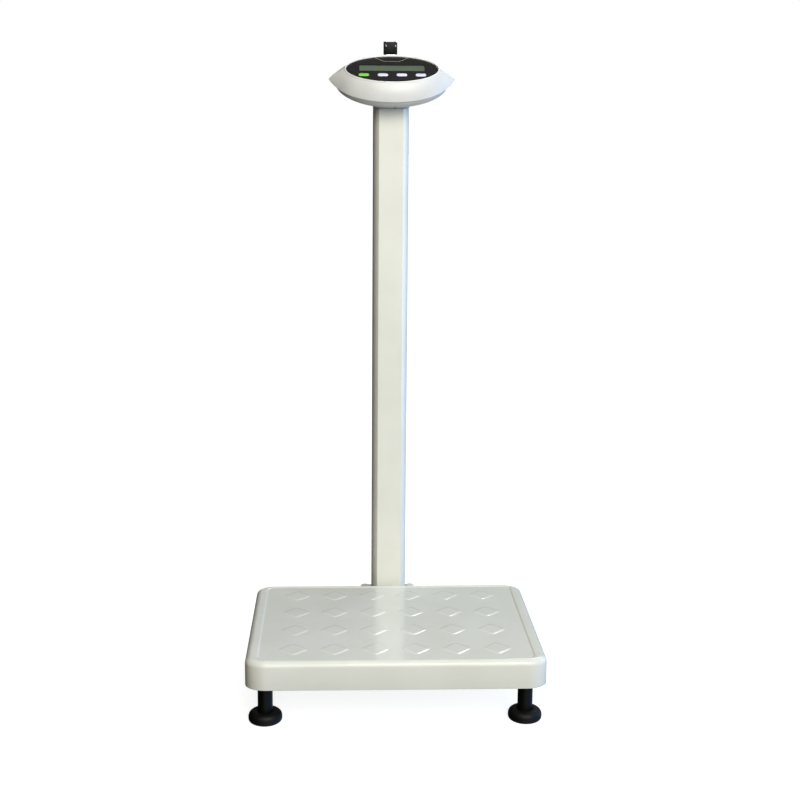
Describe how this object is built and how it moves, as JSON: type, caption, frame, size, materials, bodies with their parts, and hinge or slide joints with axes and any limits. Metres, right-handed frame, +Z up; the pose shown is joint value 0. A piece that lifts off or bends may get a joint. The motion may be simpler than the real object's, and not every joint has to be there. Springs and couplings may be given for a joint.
{
  "type": "column body scale",
  "caption": "Medical column scale: low platform with raised diamonds on levelling feet, square column, tilted oval display head with keys, telescopic height rod behind.",
  "frame": {"origin": "on the floor, under the middle of the whole scale's bounding box", "axes": "+Z up; the front, where a person steps on and reads the display, faces -Y; +X to the right seen from the front"},
  "size_m": [0.375, 0.36, 0.855],
  "materials": {
    "ivory_paint": "glossy ivory powder paint",
    "grey_paint": "satin grey paint",
    "white_abs": "satin white moulded plastic",
    "black_abs": "black moulded plastic",
    "black_rubber": "matt black rubber",
    "panel_film": "dark smooth overlay",
    "display_glass": "grey-green display window",
    "circuit_green": "green circuit board",
    "key_green": "bright green key",
    "key_white": "bluish white key",
    "battery_wrap": "dark wrapped pack",
    "aluminium": "extruded, satin",
    "zinc_steel": "zinc plated"
  },
  "bodies": {
    "scale_frame": {"base_cross_front": "grey_paint", "base_cross_rear": "grey_paint", "base_rail_left": "grey_paint", "base_rail_right": "grey_paint", "battery_pack": "battery_wrap", "case_screw": "black_abs", "circuit_board": "circuit_green", "column_bracket": "grey_paint", "column_flange": "ivory_paint", "column_gasket": "black_rubber", "column_neck": "white_abs", "column_tube": "ivory_paint", "display_window": "display_glass", "face_panel": "panel_film", "flange_bolt_1": "ivory_paint", "flange_bolt_2": "ivory_paint", "flange_bolt_3": "ivory_paint", "flange_bolt_4": "ivory_paint", "lcd_module": "battery_wrap", "load_cell": "aluminium", "load_cell_beam": "grey_paint", "load_cell_cable": "black_rubber", "load_cell_spacer_lower": "zinc_steel", "load_cell_spacer_upper": "zinc_steel", "load_spider": "grey_paint", "lower_shell": "white_abs", "pan_bumper_front_left": "black_rubber", "pan_bumper_front_right": "black_rubber", "pan_bumper_rear_left": "black_rubber", "pan_bumper_rear_right": "black_rubber", "power_socket": "black_abs", "rod_clamp_lower": "black_abs", "rod_clamp_upper": "black_abs", "rod_outer_collar": "black_abs", "rod_outer_tube": "aluminium", "upper_shell": "white_abs"},
    "pan": {"weighing_pan": "ivory_paint"},
    "foot_front_left": {"foot_pad_front_left": "black_rubber"},
    "screw_front_left": {"foot_stem_front_left": "black_abs", "foot_stud_front_left": "zinc_steel"},
    "foot_front_right": {"foot_pad_front_right": "black_rubber"},
    "screw_front_right": {"foot_stem_front_right": "black_abs", "foot_stud_front_right": "zinc_steel"},
    "foot_rear_left": {"foot_pad_rear_left": "black_rubber"},
    "screw_rear_left": {"foot_stem_rear_left": "black_abs", "foot_stud_rear_left": "zinc_steel"},
    "foot_rear_right": {"foot_pad_rear_right": "black_rubber"},
    "screw_rear_right": {"foot_stem_rear_right": "black_abs", "foot_stud_rear_right": "zinc_steel"},
    "key_power": {"key_power": "key_green"},
    "key_unit": {"key_unit": "key_white"},
    "key_hold": {"key_hold": "key_white"},
    "key_clear": {"key_clear": "key_white"},
    "battery_door": {"battery_door": "white_abs"},
    "rod_middle": {"rod_middle_tube": "aluminium", "rod_middle_collar": "black_abs"},
    "rod_inner": {"rod_inner_tube": "aluminium", "rod_cap": "black_abs", "hinge_pin": "zinc_steel"},
    "headpiece": {"head_plate": "black_abs"}
  },
  "joints": [
    {"name": "pan_lift", "type": "slide", "parent": "scale_frame", "child": "pan", "axis": [0, 0, 1], "range_m": [0, 0.05]},
    {"name": "foot_travel_front_left", "type": "slide", "parent": "scale_frame", "child": "foot_front_left", "axis": [0, 0, 1], "range_m": [-0.012, 0.005]},
    {"name": "foot_spin_front_left", "type": "hinge", "parent": "foot_front_left", "child": "screw_front_left", "pos_m": [-0.1637, -0.145, 0.03], "axis": [0, 0, 1], "range_deg": [-2881, 1201]},
    {"name": "foot_travel_front_right", "type": "slide", "parent": "scale_frame", "child": "foot_front_right", "axis": [0, 0, 1], "range_m": [-0.012, 0.005]},
    {"name": "foot_spin_front_right", "type": "hinge", "parent": "foot_front_right", "child": "screw_front_right", "pos_m": [0.1637, -0.145, 0.03], "axis": [0, 0, 1], "range_deg": [-2881, 1201]},
    {"name": "foot_travel_rear_left", "type": "slide", "parent": "scale_frame", "child": "foot_rear_left", "axis": [0, 0, 1], "range_m": [-0.012, 0.005]},
    {"name": "foot_spin_rear_left", "type": "hinge", "parent": "foot_rear_left", "child": "screw_rear_left", "pos_m": [-0.1637, 0.065, 0.03], "axis": [0, 0, 1], "range_deg": [-2881, 1201]},
    {"name": "foot_travel_rear_right", "type": "slide", "parent": "scale_frame", "child": "foot_rear_right", "axis": [0, 0, 1], "range_m": [-0.012, 0.005]},
    {"name": "foot_spin_rear_right", "type": "hinge", "parent": "foot_rear_right", "child": "screw_rear_right", "pos_m": [0.1637, 0.065, 0.03], "axis": [0, 0, 1], "range_deg": [-2881, 1201]},
    {"name": "key_power_press", "type": "slide", "parent": "scale_frame", "child": "key_power", "axis": [0, 0.5736, -0.8192], "range_m": [0, 0.001], "stiffness_N_per_m": 600},
    {"name": "key_unit_press", "type": "slide", "parent": "scale_frame", "child": "key_unit", "axis": [0, 0.5736, -0.8192], "range_m": [0, 0.001], "stiffness_N_per_m": 600},
    {"name": "key_hold_press", "type": "slide", "parent": "scale_frame", "child": "key_hold", "axis": [0, 0.5736, -0.8192], "range_m": [0, 0.001], "stiffness_N_per_m": 600},
    {"name": "key_clear_press", "type": "slide", "parent": "scale_frame", "child": "key_clear", "axis": [0, 0.5736, -0.8192], "range_m": [0, 0.001], "stiffness_N_per_m": 600},
    {"name": "battery_door_off", "type": "slide", "parent": "scale_frame", "child": "battery_door", "axis": [0, 0.5736, -0.8192], "range_m": [0, 0.03]},
    {"name": "rod_middle_slide", "type": "slide", "parent": "scale_frame", "child": "rod_middle", "axis": [0, 0, 1], "range_m": [0, 0.56]},
    {"name": "rod_inner_slide", "type": "slide", "parent": "rod_middle", "child": "rod_inner", "axis": [0, 0, 1], "range_m": [0, 0.56]},
    {"name": "headpiece_fold", "type": "hinge", "parent": "rod_inner", "child": "headpiece", "pos_m": [0, 0.1765, 0.8515], "axis": [1, 0, 0], "range_deg": [0, 270]}
  ],
  "couplings": [
    {"joint": "foot_spin_front_left", "follows": "foot_travel_front_left", "rad_per_m": 4188.8},
    {"joint": "foot_spin_front_right", "follows": "foot_travel_front_right", "rad_per_m": 4188.8},
    {"joint": "foot_spin_rear_left", "follows": "foot_travel_rear_left", "rad_per_m": 4188.8},
    {"joint": "foot_spin_rear_right", "follows": "foot_travel_rear_right", "rad_per_m": 4188.8}
  ]
}
